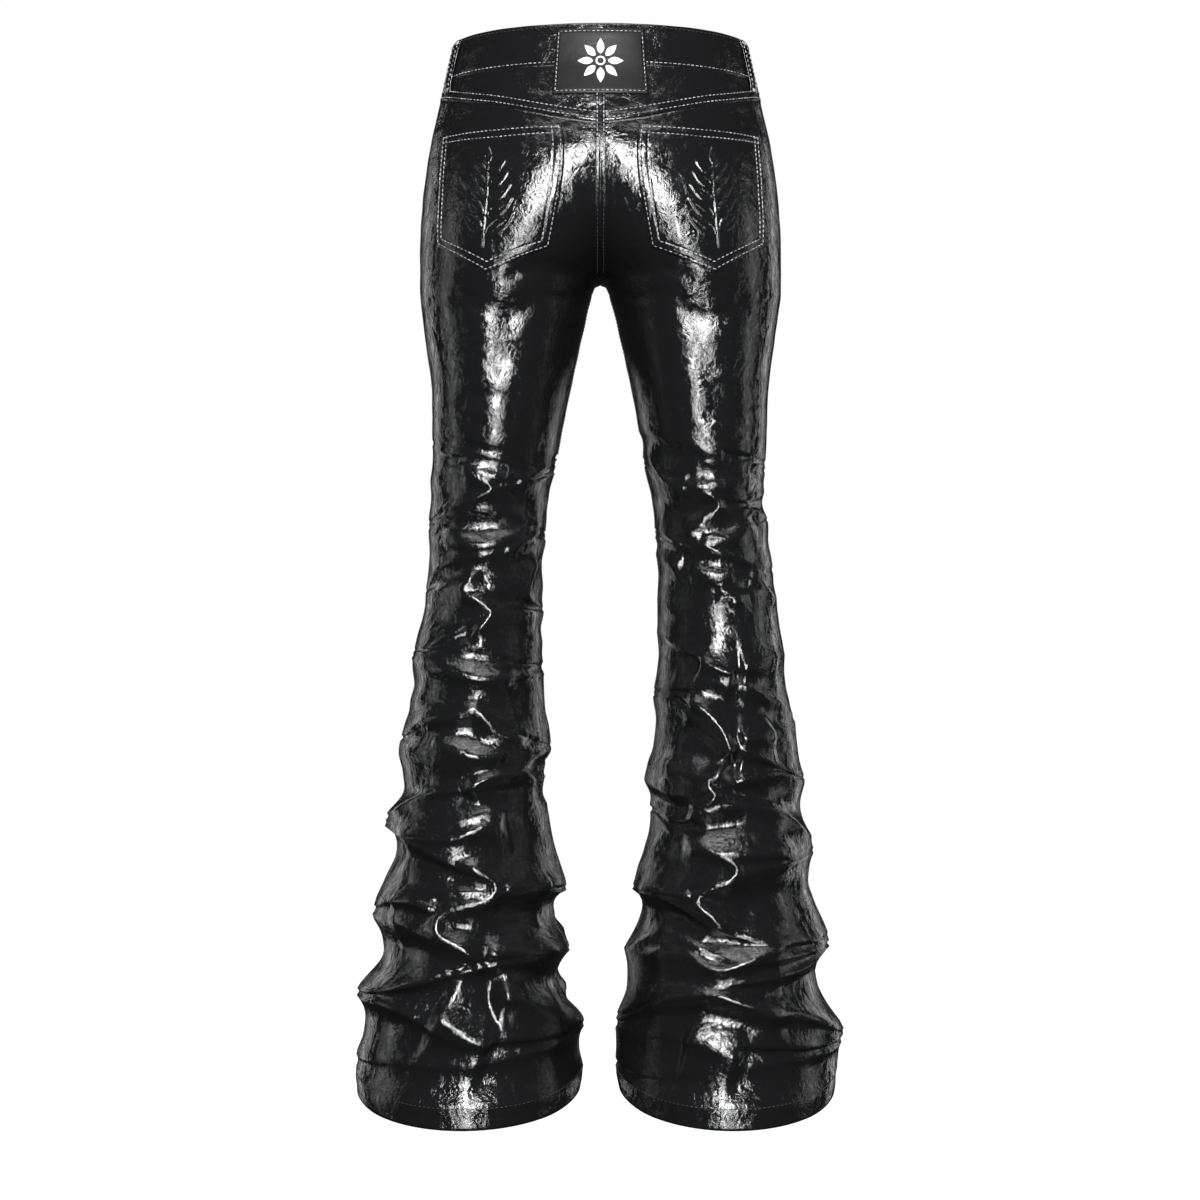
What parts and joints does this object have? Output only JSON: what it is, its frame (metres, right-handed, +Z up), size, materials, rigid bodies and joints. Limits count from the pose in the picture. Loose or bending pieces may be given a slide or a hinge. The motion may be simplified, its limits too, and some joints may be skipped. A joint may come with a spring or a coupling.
{
  "type": "stacked flared jeans",
  "caption": "Black glossy coated jeans, filled out as if worn: low waist, close thighs and long flared legs that stack in crosswise folds; yoke, back pockets and waist patch.",
  "frame": {"origin": "centre of the waist opening, level with the top edge of the waistband", "axes": "+Z up along the garment, the front faces -Y, the wearer's left is +X"},
  "size_m": [0.4873, 0.2547, 1.057],
  "materials": {
    "coated_cloth": "cotton twill with a high-gloss black coating, finely crinkled, white and grey contrast stitching",
    "patch": "matt black, finely grained, with a white stitched edge and a plain white motif",
    "metal": "dark, satin"
  },
  "bodies": {
    "root": {"back_leg_left": "coated_cloth", "back_leg_right": "coated_cloth", "back_pocket_left": "coated_cloth", "back_pocket_right": "coated_cloth", "belt_loop_back_left": "coated_cloth", "belt_loop_back_right": "coated_cloth", "belt_loop_front_left": "coated_cloth", "belt_loop_front_right": "coated_cloth", "fly_shield": "coated_cloth", "front_leg_left": "coated_cloth", "front_leg_right": "coated_cloth", "pocket_facing_left": "coated_cloth", "pocket_facing_right": "coated_cloth", "waist_button": "metal", "waist_patch": "patch", "waistband": "coated_cloth", "yoke_left": "coated_cloth", "yoke_right": "coated_cloth"}
  },
  "joints": []
}
